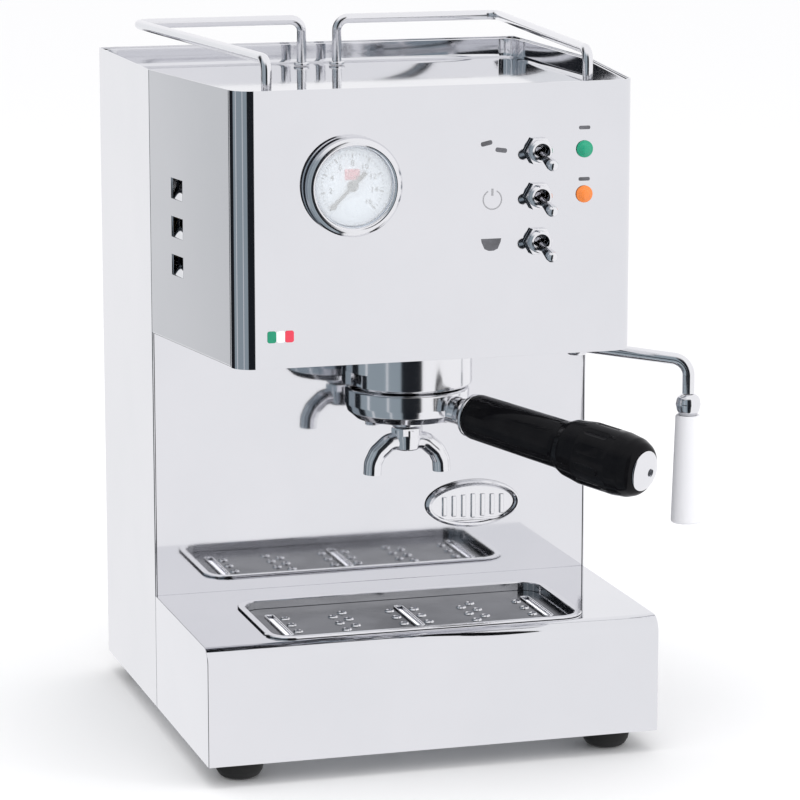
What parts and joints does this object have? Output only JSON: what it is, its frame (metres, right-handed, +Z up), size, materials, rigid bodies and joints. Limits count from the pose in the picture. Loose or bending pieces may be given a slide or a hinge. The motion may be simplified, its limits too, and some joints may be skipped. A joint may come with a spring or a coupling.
{
  "type": "espresso machine",
  "caption": "Home espresso machine in polished steel with a tapered head, pressure gauge, toggle switches, portafilter, steam wand and drip tray.",
  "frame": {"origin": "on the surface it stands on, under the middle of the whole machine's box", "axes": "+Z up, the front with the gauge and handle faces -Y, +X is to the right seen from the front"},
  "size_m": [0.2912, 0.3354, 0.3832],
  "materials": {
    "polished_steel": "mirror polished stainless steel",
    "plate_steel": "plain stainless steel",
    "chrome": "chrome plated",
    "black_plastic": "glossy black",
    "needle_black": "satin black paint",
    "rubber": "matt black",
    "brass": "as machined",
    "copper_pipe": "drawn copper",
    "dial_white": "white printed dial",
    "clear_glass": "clear",
    "clear_plastic": "clear moulded",
    "milky_plastic": "translucent white",
    "grey_plastic": "moulded",
    "green_lens": "translucent green",
    "orange_lens": "translucent orange"
  },
  "bodies": {
    "machine": {"floor_pan": "plate_steel", "foot_front_left": "rubber", "foot_front_right": "rubber", "foot_rear_left": "rubber", "foot_rear_right": "rubber", "base_cover": "polished_steel", "column_wrap": "polished_steel", "column_panel": "polished_steel", "head_wrap": "polished_steel", "front_panel": "polished_steel", "tray_bracket_front": "plate_steel", "tray_bracket_rear": "plate_steel", "group_head": "chrome", "group_gasket": "rubber", "shower_screen": "plate_steel", "gauge_case": "chrome", "gauge_dial": "dial_white", "gauge_glass": "clear_glass", "switch_body_power": "chrome", "switch_body_steam": "chrome", "switch_body_brew": "chrome", "lamp_power": "green_lens", "lamp_heating": "orange_lens", "badge": "chrome", "steam_fitting": "chrome", "steam_valve": "brass", "boiler_base": "brass", "boiler": "brass", "heating_element": "plate_steel", "tank_shelf": "plate_steel", "tank_valve": "rubber", "suction_hose": "milky_plastic", "pump": "grey_plastic", "pump_cradle": "rubber", "pressure_pipe": "copper_pipe", "brew_valve": "brass", "wand_feed": "copper_pipe", "steam_feed": "copper_pipe", "gauge_pipe": "copper_pipe", "power_inlet": "black_plastic"},
    "cup_tray": {"cup_tray": "polished_steel", "rail_left": "chrome", "rail_right": "chrome"},
    "tank": {"water_tank": "clear_plastic", "tank_lid": "grey_plastic"},
    "drip_tray": {"drip_tray": "polished_steel"},
    "drip_grid": {"drip_grid": "plate_steel"},
    "basket": {"filter_basket": "plate_steel"},
    "portafilter": {"portafilter_body": "chrome", "twin_spout": "chrome", "handle": "black_plastic", "handle_cap": "chrome"},
    "steam_wand": {"wand_tube": "chrome", "wand_tip": "chrome", "wand_sleeve": "milky_plastic"},
    "steam_knob": {"steam_knob": "black_plastic"},
    "power_lever": {"switch_lever_power": "chrome"},
    "steam_lever": {"switch_lever_steam": "chrome"},
    "brew_lever": {"switch_lever_brew": "chrome"},
    "needle": {"gauge_needle": "needle_black"}
  },
  "joints": [
    {"name": "cup_tray_lift", "type": "slide", "parent": "machine", "child": "cup_tray", "axis": [0, 0, 1], "range_m": [0, 0.06]},
    {"name": "tank_lift", "type": "slide", "parent": "machine", "child": "tank", "axis": [0, 0, 1], "range_m": [0, 0.054]},
    {"name": "drip_tray_lift", "type": "slide", "parent": "machine", "child": "drip_tray", "axis": [0, 0, 1], "range_m": [0, 0.038]},
    {"name": "drip_grid_lift", "type": "slide", "parent": "drip_tray", "child": "drip_grid", "axis": [0, 0, 1], "range_m": [0, 0.018]},
    {"name": "portafilter_drop", "type": "slide", "parent": "machine", "child": "basket", "axis": [0, 0, -1], "range_m": [0, 0.014]},
    {"name": "portafilter_turn", "type": "hinge", "parent": "basket", "child": "portafilter", "pos_m": [-0.02065, -0.03078, 0.21], "axis": [0, 0, 1], "range_deg": [-75, 0]},
    {"name": "wand_swivel", "type": "hinge", "parent": "machine", "child": "steam_wand", "pos_m": [0.08335, -0.00978, 0.2187], "axis": [0, 0, 1], "range_deg": [-45, 60]},
    {"name": "steam_knob_turn", "type": "hinge", "parent": "machine", "child": "steam_knob", "pos_m": [0.10435, 0.08022, 0.3], "axis": [1, 0, 0], "range_deg": [0, 300]},
    {"name": "power_switch", "type": "hinge", "parent": "machine", "child": "power_lever", "pos_m": [0.03385, -0.08628, 0.3305], "axis": [1, 0, 0], "range_deg": [-24, 0]},
    {"name": "steam_switch", "type": "hinge", "parent": "machine", "child": "steam_lever", "pos_m": [0.03385, -0.08628, 0.3068], "axis": [1, 0, 0], "range_deg": [-24, 0]},
    {"name": "brew_switch", "type": "hinge", "parent": "machine", "child": "brew_lever", "pos_m": [0.03385, -0.08628, 0.2831], "axis": [1, 0, 0], "range_deg": [-24, 0]},
    {"name": "needle_turn", "type": "hinge", "parent": "machine", "child": "needle", "pos_m": [-0.06715, -0.08628, 0.316], "axis": [0, 1, 0], "range_deg": [0, 270]}
  ],
  "couplings": [
    {"joint": "tank_lift", "follows": "cup_tray_lift", "ratio": 0.9}
  ]
}
